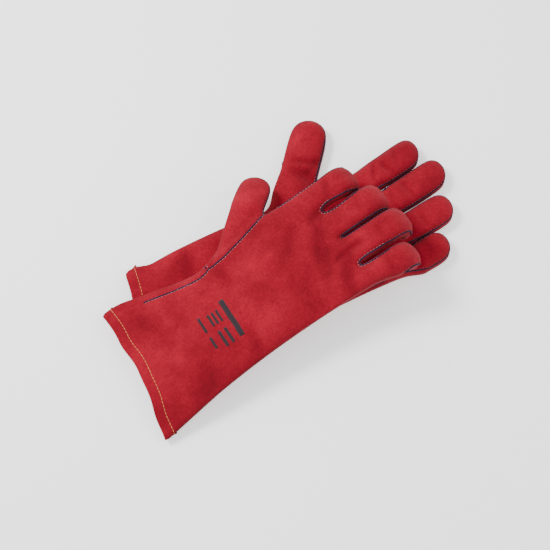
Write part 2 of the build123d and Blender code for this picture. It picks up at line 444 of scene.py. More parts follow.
class Sheet:
    """One side of the flat skin: points, triangles, and the points that its seam runs through."""

    def __init__(self, outline, insets, lines, root_seam=None):
        n = len(outline.xy)
        own = insets > RIM_SEAM
        seam_xy = outline.xy + outline.normal * insets[:, None]
        self.points = [tuple(p) for p in outline.xy]
        self.seam = list(range(n))
        for i in np.flatnonzero(own):
            self.seam[i] = len(self.points)
            self.points.append(tuple(seam_xy[i]))
        edges = [(i, i + 1) for i in range(n - 1)]
        for i in range(n - 1):
            if own[i] or own[i + 1]:
                edges.append((self.seam[i], self.seam[i + 1]))
        taken = [np.array(self.points)]
        hem_ends = [0, self.seam[0], self.seam[n - 1], n - 1]
        self.hem = self.add_line(edges, taken, hem_ends)
        self.line_points = []
        for low, high in lines:
            ends = [low, self.seam[low], self.seam[high], high]
            self.line_points.append(self.add_line(edges, taken, ends))
        self.root_line = []
        if root_seam:
            start, middle, end = root_seam
            first = len(self.points)
            self.points += list(middle)
            through = list(range(first, first + len(middle)))
            self.root_line = self.add_line(edges, taken, [self.seam[start], *through, self.seam[end]])
        self.add_rings(outline, insets, taken)
        self.add_inside(outline, taken)
        found = delaunay_2d_cdt([Vector(p) for p in self.points], edges, [], 0, 1e-4, True)
        self.read(outline, found)

    def add_line(self, edges, taken, ends):
        """Points and edges along a straight line through the given points. Returns their numbers."""
        chain = []
        for a, b in zip(ends[:-1], ends[1:]):
            if not chain:
                chain.append(a)
            if a == b:
                continue
            pa, pb = np.array(self.points[a]), np.array(self.points[b])
            count = max(1, int(round(np.linalg.norm(pb - pa) / SPACING)))
            previous = a
            for k in range(1, count):
                self.points.append(tuple(pa + (pb - pa) * k / count))
                chain.append(len(self.points) - 1)
                edges.append((previous, chain[-1]))
                previous = chain[-1]
            edges.append((previous, b))
            chain.append(b)
        taken.append(np.array([self.points[i] for i in chain]))
        return chain

    def add_free(self, points, taken, gap):
        """Add the points that aren't too near those already there."""
        if not len(points):
            return
        known = np.vstack(taken)
        keep = []
        for start in range(0, len(points), BATCH):
            p = points[start:start + BATCH]
            near = ((p[:, None] - known) ** 2).sum(2).min(1)
            keep.append(p[near > gap ** 2])
        kept = np.vstack(keep)
        self.points += [tuple(p) for p in kept]
        taken.append(kept)

    def add_rings(self, outline, insets, taken):
        """Rows of points along the outline, where the skin curves most."""
        for inset in RINGS:
            clear = (abs(insets - inset) > 0.6) | (insets < RIM_SEAM)
            ring = outline.xy + outline.normal * inset
            d, _ = outline.distance(ring)
            keep = clear & (d > 0.85 * inset) & (ring[:, 0] > 1.0) & inside(outline.polygon, ring)
            self.add_free(ring[keep], taken, RING_APART)

    def add_inside(self, outline, taken):
        """An even field of points over the rest."""
        low, high = outline.xy.min(0), outline.xy.max(0)
        row = SPACING * math.sqrt(3) / 2
        grid = []
        for j in range(int((high[1] - low[1]) / row) + 1):
            shift = SPACING / 2 * (j % 2)
            for i in range(int((high[0] - low[0]) / SPACING) + 1):
                grid.append((low[0] + i * SPACING + shift, low[1] + j * row))
        grid = np.array(grid)
        grid = grid[inside(outline.polygon, grid)]
        d, _ = outline.distance(grid)
        grid = grid[(d > RINGS[-1] + 1.2) & (grid[:, 0] > 1.2)]
        self.add_free(grid, taken, FIELD_APART)

    def read(self, outline, found):
        """Take the triangles inside the outline, and renumber everything."""
        xy = np.array([tuple(v) for v in found[0]])
        number = {}
        for new, olds in enumerate(found[3]):
            for old in olds:
                number[old] = new
        triangles = np.array(found[2])
        centres = xy[triangles].mean(1)
        triangles = triangles[inside(outline.polygon, centres)]
        self.xy = xy
        self.triangles = triangles
        self.outline = [number[i] for i in range(len(outline.xy))]
        self.seam = [number[i] for i in self.seam]
        self.hem = [number[i] for i in self.hem]
        self.line_points = [[number[i] for i in line] for line in self.line_points]
        self.root_line = [number[i] for i in self.root_line]


def smoothstep(t):
    t = np.clip(t, 0, 1)
    return t * t * (3 - 2 * t)


class Skin:
    """The whole skin of one glove: points in the row frame, triangles, panels and seams."""

    def __init__(self, glove):
        self.glove = glove
        self.outline = Outline(glove)
        self.lines = self.cross_lines()
        self.over = Sheet(self.outline, self.outline.upper, self.lines, self.root_ends())
        self.under = Sheet(self.outline, self.outline.lower, self.lines)
        self.join()
        self.shape()
        self.name_panels()

    def cross_lines(self):
        """The lines across the glove: where the lining starts, the wrist seam, and each digit's cut."""
        outline = self.outline
        lines = [
            outline.snap((LINING_START, 0), (0, 1), 100),
            outline.snap((WRIST_SEAM, 0), (0, 1), 100),
        ]
        for digit in self.glove.digits:
            lines.append(outline.snap(digit.plan(digit.cut, 0), digit.across, digit.reach))
        return lines

    def root_ends(self):
        """The seam across the thumb's root: its two ends on the outline, and the points between."""
        if not self.glove.root_seam:
            return None
        crotch = thumb_crotch(self.glove.digits[4])[1]
        end = int(np.argmin(np.linalg.norm(self.outline.xy - crotch, axis=1)))
        return self.lines[1][1], self.glove.root_seam, end

    def join(self):
        """Number the points of both sides together. They share the outline."""
        over, under = self.over, self.under
        count = len(over.xy)
        number = np.arange(len(under.xy)) + count
        number[under.outline] = over.outline
        self.under_number = number
        self.flat = np.vstack((over.xy, under.xy))
        self.is_over = np.arange(len(self.flat)) < count
        self.faces = np.vstack((orient(over.xy, over.triangles), flip_like(under, number)))
        self.face_over = np.arange(len(self.faces)) < len(over.triangles)
        self.rim = np.array(over.outline)
        self.upper_seam = np.array(over.seam)
        self.lower_seam = number[under.seam]
        self.hem_over = list(over.hem)
        self.hem_under = [int(number[i]) for i in under.hem]

    def shape(self):
        """Puff the flat skin up, wrinkle it, curl the digits, and lay it down."""
        glove = self.glove
        d, _ = self.outline.distance(self.flat)
        d[self.rim] = 0
        x, y = self.flat[:, 0], self.flat[:, 1]
        folds = smoothstep(d / 7.0) * np.where(self.is_over, wrinkles(glove, x, y), 0.0)
        z = self.puff(x, y, d) + folds - thumb_drop(glove, x, y)
        # Shade painted into the leather's colour: by the seams, in the folds and on the right cuff's low
        # side.
        self.painted_shade = shade_to_paint(glove, x, y, d, folds)
        co = np.stack((x, y, z + glove.level), 1)
        for digit in glove.digits:
            curl_digit(digit, co, self.flat)
            if digit.spread:
                u, v = digit.local(self.flat)
                out = digit.holds(self.flat, 0) * np.clip(u / digit.length, 0, 1) ** 1.4
                lean = out * (digit.spread + WIDEN * v)
                co[:, :2] += lean[:, None] * digit.across
        co = glove.place(settle(glove, co))
        sunk = np.zeros(len(co))
        for seam in (self.upper_seam, self.lower_seam, self.over.root_line):
            sunk[seam] = GROOVE
        self.co = co - vertex_normals(co, self.faces) * sunk[:, None]
        self.normals = vertex_normals(self.co, self.faces)
        self.tree = BVHTree.FromPolygons(self.co.tolist(), self.faces.tolist())

    def puff(self, x, y, d):
        """Height above or below the level of the seam, at this distance from the outline."""
        glove = self.glove
        depth = thickness(x) / thickness(CROTCH)
        full = 0.86 + 0.14 * smoothstep((x - 30) / 140) + 0.10 * smoothstep((x - CROTCH + 20) / 25)
        high = glove.high * depth * full
        roll = FINGER_ROLL + (HAND_ROLL - FINGER_ROLL) * (1 - smoothstep((x - 215) / 35))
        if glove.palm_up:
            low, under_roll = glove.low, UNDER_ROLL_LEFT
        else:
            low, under_roll = glove.low * depth, UNDER_ROLL_RIGHT
            roll += 16 * smoothstep(-y / 40) * (1 - smoothstep((x - 200) / 40))
        return np.where(self.is_over, high * crown(d / roll, 2.0), -low * crown(d / under_roll, 2.2))

    def name_panels(self):
        """Each triangle's panel, over, under or rim, and its digit, or -1 for the hand."""
        self.centres = self.flat[self.faces].mean(1)
        _, near = self.outline.distance(self.centres)
        inner = np.zeros(len(self.faces), bool)
        for over, seam in ((True, self.upper_seam), (False, self.lower_seam)):
            polygon = np.vstack((self.flat[seam], self.flat[seam[:1]]))
            pick = self.face_over == over
            inner[pick] = inside(polygon, self.centres[pick])
        owners = np.array([name.replace("fourchette", "rim") for name in self.outline.owner])
        self.panel = np.where(inner, np.where(self.face_over, "over", "under"), owners[near])
        self.digit_of = np.full(len(self.faces), -1)
        for k, digit in enumerate(self.glove.digits):
            self.digit_of[digit.holds(self.centres, digit.cut)] = k


def orient(xy, triangles):
    """Triangles turned to face up."""
    a, b, c = (xy[triangles[:, k]] for k in range(3))
    area = (b[:, 0] - a[:, 0]) * (c[:, 1] - a[:, 1]) - (b[:, 1] - a[:, 1]) * (c[:, 0] - a[:, 0])
    turned = triangles.copy()
    turned[area < 0] = triangles[area < 0][:, ::-1]
    return turned


def flip_like(under, number):
    """The lower side's triangles, turned to face down, in the skin's own numbers."""
    return number[orient(under.xy, under.triangles)[:, ::-1]]


def crown(t, power):
    """Height of a puffed edge from 0 at the seam to 1, as a superellipse."""
    t = np.clip(t, 0, 1)
    return (1 - (1 - t) ** power) ** (1 / power)


def thumb_drop(glove, x, y):
    """How far the thumb lies below the back where the back's seam crosses its root."""
    if not glove.root_seam:
        return 0.0
    line = np.array(glove.root_seam)
    past = y - np.interp(x, line[:, 0], line[:, 1])
    ends = smoothstep((x - 116) / 26) * smoothstep((232 - x + y - 66) / 12)
    return THUMB_DROP * smoothstep(past / 9) * ends


def shade_to_paint(glove, x, y, d, folds):
    """How much shade to paint into the leather's colour, 0 to 1: painted shade by the seams, in the
    folds, and on the right cuff's low side.
    """
    cuff_shade = 0
    if not glove.palm_up:
        # painted shade on the right cuff's low side, where the leather turns away from the light
        cuff_shade = 0.4 * smoothstep((-y - 10) / 60) * (1 - smoothstep((x - 90) / 130))
    # painted shade by the seams and in the folds, added to the cuff's painted shade
    return np.clip(0.55 * np.exp(-(d / 3.4) ** 2) + np.clip(-folds / 4, 0, 0.6) + cuff_shade, 0, 1)


def crease(x, y, at, angle, length, width, depth):
    """One soft fold: a valley, or a ridge where depth is negative."""
    c, s = math.cos(math.radians(angle)), math.sin(math.radians(angle))
    u = (x - at[0]) * c + (y - at[1]) * s
    v = -(x - at[0]) * s + (y - at[1]) * c
    v = v + 0.0022 * u * u
    fade = np.exp(-(u / (0.5 * length)) ** 4)
    return -depth * fade * np.exp(-(v / width) ** 2)


FOLDS = {                 # middle, heading, length, half width and depth of each fold
    "right": (
        ((281, 52), 90, 30, 4, -0.7),
        ((294, 17), 90, 30, 4, -0.7),
        ((300, -17), 90, 30, 4, -0.7),
        ((288, -52), 90, 30, 4, -0.7),
        ((246, 34), 15, 30, 4, 1.2),
        ((262, 0), 20, 30, 4, 1.1),
        ((250, -17), 5, 34, 3.5, 1.5),
        ((268, -36), 18, 28, 4, 1.1),
        ((285, 18), 80, 26, 4, 0.8),
        ((288, -17), 84, 26, 4, 0.8),
        ((268, 52), 74, 26, 4, 0.9),
        ((276, -52), 80, 26, 4, 0.9),
        ((232, 10), 62, 60, 7, 1.6),
        ((218, -22), 70, 50, 6, 1.2),
        ((205, 25), 50, 46, 7, 1.1),
        ((236, -38), 64, 44, 6, 1.3),
        ((192, -44), 74, 60, 9, 1.5),
        ((176, 30), 120, 50, 10, -1.2),
        ((150, -10), 96, 80, 14, -1.3),
        ((120, -46), 80, 44, 8, 1.0),
        ((128, 36), 100, 40, 8, 1.2),
        ((84, 10), 84, 90, 16, -1.2),
        ((60, -46), 64, 50, 10, 0.9),
        ((40, 30), 110, 60, 12, 0.8),
    ),
    "left": (
        ((284, 54), 64, 26, 3.2, 1.2),
        ((298, 50), 112, 24, 3.2, 1.1),
        ((312, 54), 80, 20, 3.0, 0.6),
        ((286, 17), 76, 26, 3.5, 1.2),
        ((306, 17), 104, 24, 3.2, 0.9),
        ((286, -17), 84, 26, 3.5, 1.1),
        ((304, -18), 100, 24, 3.0, 0.8),
        ((276, -52), 84, 24, 3.5, 1.0),
        ((218, 84), 128, 40, 6, 1.4),
        ((226, 100), 150, 34, 4, 1.0),
        ((232, 92), 20, 30, 4, 1.0),
        ((130, 40), 96, 60, 9, 1.2),
        ((60, 48), 80, 50, 9, 0.9),
    ),
}


def wrinkles(glove, x, y):
    """The folds and the gentle unevenness of the upper side."""
    z = np.zeros(len(x))
    for at, angle, length, width, depth in FOLDS[glove.side]:
        z += crease(x, y, at, angle, length, width, FOLD_DEPTH * depth)
    seed = NOISE_SEEDS[glove.side]
    for i in range(len(x)):
        z[i] += 1.9 * noise.noise(Vector((x[i] / 52, y[i] / 34, seed)))
        z[i] += 0.35 * noise.noise(Vector((x[i] / 13, y[i] / 11, seed + 5)))
    return z


def curl_digit(digit, co, flat):
    """Bend a digit's points down round its middle joint."""
    if not digit.curl:
        return
    pick = digit.holds(flat, digit.joint)
    u, v = digit.local(flat[pick])
    past = u - digit.joint
    angle = digit.curl * np.clip(past / digit.bend_length, 0, 1)
    beyond = np.clip(past - digit.bend_length, 0, None)
    arm = co[pick, 2] - digit.pivot
    run = arm * np.sin(angle) + beyond * np.cos(angle)
    base = digit.plan(digit.joint, 0)
    co[pick, :2] = base + run[:, None] * digit.along + v[:, None] * digit.across
    co[pick, 2] = digit.pivot + arm * np.cos(angle) - beyond * np.sin(angle)


def settle(glove, co):
    """Let the cuff sag, slant its edge towards its corners, and wave it a little."""
    x, y = co[:, 0].copy(), co[:, 1].copy()
    across = y / HEM_HALF
    if glove.palm_up:
        slant = -8.5 * (1 - across ** 2)
        co[:, 1] += 3.2 * (1 - smoothstep((x - 10) / 18)) * smoothstep((y - 55) / 18)
    else:
        slant = 6.5 * across + 8.0 * (1 - across ** 2) - 3.0
        end = 1 - smoothstep(x / 70)
        co[:, 2] -= 5.0 * end * smoothstep((-y + 10) / 80) + 3.0 * end
    wave = 0.9 * np.sin(y / 13 + 2.1) + 0.5 * np.sin(y / 6.5)
    co[:, 0] += (slant + wave) * (1 - smoothstep(x / 60))
    return co


def vertex_normals(co, faces):
    a, b, c = co[faces[:, 0]], co[faces[:, 1]], co[faces[:, 2]]
    n = np.cross(b - a, c - a)
    total = np.zeros_like(co)
    for k in range(3):
        np.add.at(total, faces[:, k], n)
    length = np.linalg.norm(total, axis=1)
    length[length == 0] = 1
    return total / length[:, None]


# ---------------------------------------------------------------- meshes

def add_object(name, data, material=None):
    """A new object at the origin."""
    obj = bpy.data.objects.new(name, data)
    bpy.context.scene.collection.objects.link(obj)
    if material:
        data.materials.append(material)
    return obj


def new_mesh(name, co, faces, material):
    """A smooth-shaded object from points in millimetres."""
    mesh = bpy.data.meshes.new(name)
    mesh.from_pydata((np.asarray(co, float) * MM).tolist(), [], faces)
    mesh.validate()
    mesh.shade_smooth()
    return add_object(name, mesh, material)


def rim_edges(faces):
    """The edges that only one triangle has, each as that triangle runs along it."""
    edges = {(int(f[k]), int(f[(k + 1) % 3])) for f in faces for k in range(3)}
    return [(a, b) for a, b in sorted(edges) if (b, a) not in edges]


def part_pinches(used, faces):
    """Give each fan of triangles its own point where it meets another fan at that point only."""
    starts = [a for a, _ in rim_edges(faces)]
    pinches = sorted({a for a in starts if starts.count(a) > 1})
    used = list(used)
    for pinch in pinches:
        fans = []
        for i in np.flatnonzero((faces == pinch).any(1)):
            others = set(faces[i].tolist()) - {pinch}
            touching = [fan for fan in fans if fan[1] & others]
            merged = ([i], others)
            for fan in touching:
                merged = (merged[0] + fan[0], merged[1] | fan[1])
                fans.remove(fan)
            fans.append(merged)
        for rows, _ in fans[1:]:
            faces[rows] = np.where(faces[rows] == pinch, len(used), faces[rows])
            used.append(used[pinch])
    return np.array(used), faces


def thick_piece(name, skin, pick, material, outer=0.0, thick=LEATHER):
    """A closed leather or lining piece: the picked triangles, given a thickness inwards."""
    used, inverse = np.unique(skin.faces[pick], return_inverse=True)
    used, faces = part_pinches(used, inverse.reshape(-1, 3))
    co, normals = skin.co[used], skin.normals[used]
    n = len(used)
    back = faces[:, ::-1]
    rim = [(b, a, a + n, b + n) for a, b in rim_edges(faces)]
    points = np.vstack((co - normals * outer, co - normals * (outer + thick))) * MM
    mesh = bpy.data.meshes.new(name)
    mesh.from_pydata(points.tolist(), [], faces.tolist() + (back + n).tolist() + rim)
    mesh.shade_smooth()
    by_shape = np.zeros((4 * len(rim), 3))       # the rim keeps the normals of its own faces
    loops = np.vstack((normals[faces].reshape(-1, 3), -normals[back].reshape(-1, 3), by_shape))
    mesh.normals_split_custom_set(loops.tolist())
    # painted shade: each point's amount of shade to paint, read by the leather's material
    shade = mesh.attributes.new("painted_shade", "FLOAT", "POINT")
    shade.data.foreach_set("value", np.tile(skin.painted_shade[used], 2).astype(np.float32))
    return add_object(name, mesh, material)


def loft_faces(count, size, closed=False):
    """Faces between rings of points that follow one another, round a loop or with two ends."""
    faces = []
    for i in range(count if closed else count - 1):
        j = (i + 1) % count
        for k in range(size):
            m = (k + 1) % size
            faces.append((i * size + k, i * size + m, j * size + m, j * size + k))
    if not closed:
        faces.append(tuple(reversed(range(size))))
        faces.append(tuple((count - 1) * size + k for k in range(size)))
    return faces


def tube(path, radius, sides=8):
    """Points and faces of a tube along a path, with a frame that doesn't twist."""
    path = np.asarray(path, float)
    radii = np.broadcast_to(radius, len(path))
    tangent = np.gradient(path, axis=0)
    tangent /= np.linalg.norm(tangent, axis=1)[:, None]
    side = np.cross(tangent[0], (0.1, 0.2, 1.0))
    co = []
    for i in range(len(path)):
        side = side - tangent[i] * (side @ tangent[i])
        side /= np.linalg.norm(side)
        up = np.cross(tangent[i], side)
        for k in range(sides):
            a = 2 * math.pi * k / sides
            co.append(path[i] + (side * math.cos(a) + up * math.sin(a)) * radii[i])
    return np.array(co), loft_faces(len(path), sides)


def join_parts(parts):
    """Several (points, faces) as one."""
    co, faces, start = [], [], 0
    for c, f in parts:
        co.append(c)
        faces += [tuple(i + start for i in face) for face in f]
        start += len(c)
    return np.vstack(co), faces


def smooth_path(path, rounds):
    """A path with its small steps evened out, between the same ends."""
    path = path.copy()
    for _ in range(rounds):
        path[1:-1] = path[1:-1] * 0.5 + (path[:-2] + path[2:]) * 0.25
    return path


def on_skin(skin, point):
    """The nearest point of the skin, and the skin's normal there."""
    found, normal, _, _ = skin.tree.find_nearest(Vector(point))
    return np.array(found), np.array(normal)


def stitch_mesh(name, skin, runs, material, stitch=2.3, gap=1.3, radius=THREAD_RADIUS):
    """Rows of short stitches that lie on the skin along runs of points."""
    radii = np.array((0.7, 1.0, 1.0, 0.7)) * radius
    lifts = (0.05, radius * 0.9, radius * 0.9, 0.05)
    parts = []
    for run in runs:
        steps = np.linalg.norm(np.diff(run, axis=0), axis=1)
        at = np.concatenate(((0,), np.cumsum(steps)))
        place = 0.6
        while place + stitch < at[-1]:
            line = []
            for share, lift in zip((0.0, 0.3, 0.7, 1.0), lifts):
                s = place + stitch * share
                foot, normal = on_skin(skin, [np.interp(s, at, run[:, k]) for k in range(3)])
                foot = foot + normal * lift
                foot[2] = max(foot[2], radius)
                line.append(foot)
            parts.append(tube(line, radii, sides=6))
            place += stitch + gap
    return new_mesh(name, *join_parts(parts), material)


def beside(skin, chain, offset):
    """Points beside a run of seam points, moved over the skin. The offset's sign is its side."""
    path = skin.co[chain]
    tangent = np.gradient(smooth_path(path, 3), axis=0)
    side = np.cross(skin.normals[chain], tangent)
    side /= np.linalg.norm(side, axis=1)[:, None] + 1e-9
    return path + side * offset


# ---------------------------------------------------------------- materials

def node(tree, kind, **inputs):
    """A new node, with its sockets or settings filled in by name."""
    made = tree.nodes.new(kind)
    for key, value in inputs.items():
        socket = key.replace("_", " ")
        if socket in made.inputs:
            made.inputs[socket].default_value = value
        else:
            setattr(made, key, value)
    return made


def texture(tree, kind, **inputs):
    """A texture's value, fixed to the object."""
    made = node(tree, kind, **inputs)
    where = node(tree, "ShaderNodeTexCoord")
    tree.links.new(where.outputs["Object"], made.inputs["Vector"])
    return made.outputs["Fac"]


def mixed(tree, share, a, b):
    """A blend of two values, with this share of the second."""
    mix = node(tree, "ShaderNodeMix", data_type="FLOAT")
    mix.inputs[0].default_value = share
    tree.links.new(a, mix.inputs[2])
    tree.links.new(b, mix.inputs[3])
    return mix.outputs[0]


def product(tree, a, b):
    """One value times another, or times a number."""
    times = node(tree, "ShaderNodeMath", operation="MULTIPLY")
    tree.links.new(a, times.inputs[0])
    if isinstance(b, float):
        times.inputs[1].default_value = b
    else:
        tree.links.new(b, times.inputs[1])
    return times.outputs[0]


def coloured(tree, value, *stops):
    """A colour for each value. A stop is a value and its colour."""
    ramp = node(tree, "ShaderNodeValToRGB")
    elements = ramp.color_ramp.elements
    elements[0].position = stops[0][0]
    elements[1].position = stops[-1][0]
    for position, _ in stops[1:-1]:
        elements.new(position)
    for element, (_, colour) in zip(elements, stops):
        element.color = (*colour, 1)
    tree.links.new(value, ramp.inputs["Fac"])
    return ramp.outputs["Color"]


def add_bump(tree, shader, height, strength, distance):
    bump = node(tree, "ShaderNodeBump", Strength=strength, Distance=distance)
    tree.links.new(height, bump.inputs["Height"])
    tree.links.new(bump.outputs["Normal"], shader.inputs["Normal"])


def new_material(name, roughness, sheen=0.0):
    material = bpy.data.materials.new(name)
    material.use_nodes = True
    tree = material.node_tree
    shader = tree.nodes["Principled BSDF"]
    shader.inputs["Roughness"].default_value = roughness
    shader.inputs["Specular IOR Level"].default_value = 0.25
    shader.inputs["Sheen Weight"].default_value = sheen
    shader.inputs["Sheen Roughness"].default_value = 0.6
    return material, tree, shader


def suede(name, dark, mid, light):
    """Split leather: a short nap, brushed patches, shade painted in where each piece's points ask for
    it, and a fine grain.
    """
    material, tree, shader = new_material(name, 0.95, 0.04)
    shader.inputs["Specular IOR Level"].default_value = 0.08
    patches = texture(tree, "ShaderNodeTexNoise", Scale=26.0, Detail=5.0, Roughness=0.6)
    nap = texture(tree, "ShaderNodeTexNoise", Scale=420.0, Detail=4.0, Roughness=0.7)
    grain = texture(tree, "ShaderNodeTexNoise", Scale=1500.0, Detail=3.0, Roughness=0.7)
    colour = coloured(tree, mixed(tree, 0.42, patches, nap), (0.34, dark), (0.5, mid), (0.66, light))
    # Painted shade: the colour is multiplied towards this shade colour by the shade painted on each
    # point, by the seams, in the folds and on the right cuff's low side.
    shade_attribute = node(tree, "ShaderNodeAttribute", attribute_name="painted_shade")
    shaded = node(tree, "ShaderNodeMix", data_type="RGBA", blend_type="MULTIPLY")
    shaded.inputs[7].default_value = (0.30, 0.22, 0.26, 1)
    tree.links.new(product(tree, shade_attribute.outputs["Fac"], 0.6), shaded.inputs[0])
    tree.links.new(colour, shaded.inputs[6])
    tree.links.new(shaded.outputs[2], shader.inputs["Base Color"])
    add_bump(tree, shader, mixed(tree, 0.5, nap, grain), 0.35, 0.0006)
    return material


def cloth(name, dark, light, scale, strength):
    """Woven cotton or twisted thread: crossed waves over a little noise."""
    material, tree, shader = new_material(name, 0.9, 0.15)
    warp = texture(tree, "ShaderNodeTexWave", Scale=scale, Distortion=1.0, bands_direction="X")
    weft = texture(tree, "ShaderNodeTexWave", Scale=scale, Distortion=1.0, bands_direction="Y")
    spots = texture(tree, "ShaderNodeTexNoise", Scale=scale * 0.4, Detail=3.0)
    weave = product(tree, warp, weft)
    colour = coloured(tree, mixed(tree, 0.5, weave, spots), (0.15, dark), (0.7, light))
    tree.links.new(colour, shader.inputs["Base Color"])
    add_bump(tree, shader, weave, strength, 0.0004)
    return material


RED = suede("red_suede", (0.17, 0.003, 0.010), (0.25, 0.004, 0.015), (0.35, 0.007, 0.022))
WELT = suede("navy_welt", (0.006, 0.006, 0.016), (0.012, 0.013, 0.035), (0.03, 0.03, 0.07))
COTTON = cloth("cotton", (0.45, 0.42, 0.36), (0.78, 0.75, 0.68), 900.0, 0.5)
SEAM_THREAD = cloth("seam_thread", (0.26, 0.13, 0.14), (0.46, 0.31, 0.31), 2500.0, 0.4)
INK = cloth("black_print", (0.010, 0.006, 0.010), (0.03, 0.012, 0.018), 900.0, 0.2)
HEM_THREAD = cloth("hem_thread", (0.70, 0.22, 0.06), (0.90, 0.36, 0.10), 2500.0, 0.4)
RED_THREAD = cloth("red_thread", (0.20, 0.02, 0.03), (0.34, 0.05, 0.07), 2500.0, 0.4)


# ---------------------------------------------------------------- one glove's pieces

def finish(glove, digit, piece, slot_name, *nodes):
    """Attach a piece to the hand's body, or bake in the transform of one with a digit, and hide the CAD
    nodes it stands for.
    """
    hand = f"{glove.side}_hand"
    if digit:
        start, end = joint_ends(glove, digit)
        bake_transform(piece)
    else:
        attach(piece, hand)
    if nodes:
        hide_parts(*(f"{glove.side}_{name}" for name in nodes))


def leather(glove, skin, digit, label, pick, *nodes):
    piece = thick_piece(f"{glove.side}_{label}_leather", skin, pick, RED)
    finish(glove, digit, piece, "red_split_leather", *nodes)


def piping(glove, skin, digit, label, chains, *nodes):
    """The welt along one or more runs of seam points."""
    parts = []
    for chain in chains:
        centre = skin.co[chain] + skin.normals[chain] * (GROOVE * 0.5)
        parts.append(tube(smooth_path(centre, 1), WELT_RADIUS))
    piece = new_mesh(f"{glove.side}_{label}_piping", *join_parts(parts), WELT)
    finish(glove, digit, piece, "welt", *nodes)


def stitching(glove, skin, digit, label, rows, material, **sizes):
    piece = stitch_mesh(f"{glove.side}_{label}_thread", skin, rows, material, **sizes)
    finish(glove, digit, piece, "cotton_lining")


def joint_ends(glove, digit):
    """Where a digit's piece stops following the hand, and where it only follows the digit."""
    arm = digit.bend_radius
    top = digit.pivot + arm
    if not digit.curl:
        level = glove.level + (digit.depth / 2 - glove.low)
        first = max(digit.joint - 9, digit.cut)
        ends = ((first, level), (first + 16, level))
    elif digit.name == "thumb":
        ends = ((digit.cut, top), (digit.cut + 13, top - 3))
    else:
        past = digit.joint + arm * math.sin(digit.curl)
        ends = ((digit.joint, top), (past, digit.pivot + arm * math.cos(digit.curl)))
    ends = glove.place(np.array([(*digit.plan(u, 0), z) for u, z in ends])) * MM
    return tuple(ends[0]), tuple(ends[1])


def leather_pieces(glove, skin):
    """The leather of both sides, cut into panels along the seams, and the fourchettes."""
    hand = skin.digit_of < 0
    past_wrist = skin.centres[:, 0] > WRIST_SEAM
    kinds = ("palm", "back") if glove.palm_up else ("back", "palm")
    for layer, kind in zip(("over", "under"), kinds):
        mine = hand & (skin.panel == layer)
        if kind == "back":
            leather(glove, skin, None, "back_panel", mine, "back_panel")
        else:
            leather(glove, skin, None, "palm_panel", mine & past_wrist, "palm_panel")
            leather(glove, skin, None, "cuff_palm", mine & ~past_wrist, "cuff_palm_panel")
        for k, digit in enumerate(glove.digits):
            mine = (skin.digit_of == k) & (skin.panel == layer)
            label = f"{digit.name}_{kind}"
            leather(glove, skin, digit, label, mine, label)
    rim = skin.panel == "rim"
    for k in range(3):
        low = glove.digits[k + 1].root[1]
        near = abs(skin.centres[:, 1] - low - FINGER_PITCH / 2) < FINGER_PITCH / 2
        label = f"{FINGERS[k]}_{FINGERS[k + 1]}_fourchette"
        leather(glove, skin, None, label, rim & hand & near, label)
    for k, digit in enumerate(glove.digits[:4]):
        mine = rim & (skin.digit_of == k)
        if mine.any():
            leather(glove, skin, digit, f"{digit.name}_fourchette", mine)


def seam_runs(glove, skin):
    """Runs of outline numbers: each digit's own, and the stretches of the hand between them."""
    outline = skin.outline
    digit_of = np.full(len(outline.xy), -1)
    for k, digit in enumerate(glove.digits):
        digit_of[digit.holds(outline.xy, digit.cut - 0.1)] = k
    runs = []
    start = 0
    for i in range(1, len(digit_of) + 1):
        if i == len(digit_of) or digit_of[i] != digit_of[start]:
            runs.append((digit_of[start], list(range(start, min(i + 1, len(digit_of))))))
            start = i
    return runs


def seam_chain(skin, run):
    """The seam's points along a run of the outline, on whichever side the main seam is."""
    upper = skin.outline.upper[run] > RIM_SEAM
    lower = skin.outline.lower[run] > RIM_SEAM
    return np.where(upper, skin.upper_seam[run], np.where(lower, skin.lower_seam[run], skin.rim[run]))


def second_chain(skin, run):
    """Where a fourchette has a seam below as well, its points."""
    both = (skin.outline.upper[run] > RIM_SEAM) & (skin.outline.lower[run] > RIM_SEAM)
    index = np.flatnonzero(both)
    if len(index) < 3:
        return []
    pieces = np.split(index, np.flatnonzero(np.diff(index) > 1) + 1)
    return [skin.lower_seam[np.array(run)[p]] for p in pieces if len(p) > 2]


HAND_SEAMS = (            # the hand's seams, in order round the outline
    "little_side_welt",
    "ring_little_fourchette",
    "middle_ring_fourchette",
    "index_middle_fourchette",
    "thumb_crotch_welt",
    "thumb_side_welt",
)
SEAM_SHOWS = 46.0        # the right cuff's side seam is turned in from here to the hem
# The seams whose thread is pale, beside those of the thumbs
PALE_THREADS = ("left_little_side", "right_ring_little_crotch", "right_index_middle_crotch")


def side_seam(glove, skin, run):
    """The seam along the cuff's thumb side. The back's seam leads into it across the thumb's root."""
    if not glove.root_seam:
        return seam_chain(skin, run)
    past = [i for i in run if i >= skin.lines[1][1] and skin.outline.xy[i, 0] > SEAM_SHOWS]
    return np.concatenate((skin.over.root_line[::-1], seam_chain(skin, past)[1:]))


def seam_pieces(glove, skin):
    """The piping and the row of stitches along every seam that the outline follows."""
    hand_seams = iter(HAND_SEAMS)
    for k, run in seam_runs(glove, skin):
        chain = seam_chain(skin, run)
        thread = RED_THREAD
        if k < 0:
            digit, name = None, next(hand_seams)
            if name == "thumb_side_welt":
                chain = side_seam(glove, skin, run)
            label = name.replace("fourchette", "crotch").replace("_welt", "")
            welt = f"{label}_welt"
            nodes = [name] if name.endswith("welt") else []
            if label.startswith("thumb") or f"{glove.side}_{label}" in PALE_THREADS:
                thread = SEAM_THREAD
        else:
            digit = glove.digits[k]
            label = welt = digit.name
            nodes = [f"{label}_sides"]
        piping(glove, skin, digit, welt, [chain] + second_chain(skin, run), *nodes)
        stitching(glove, skin, digit, label, [beside(skin, chain, SEAM_STITCH)], thread)


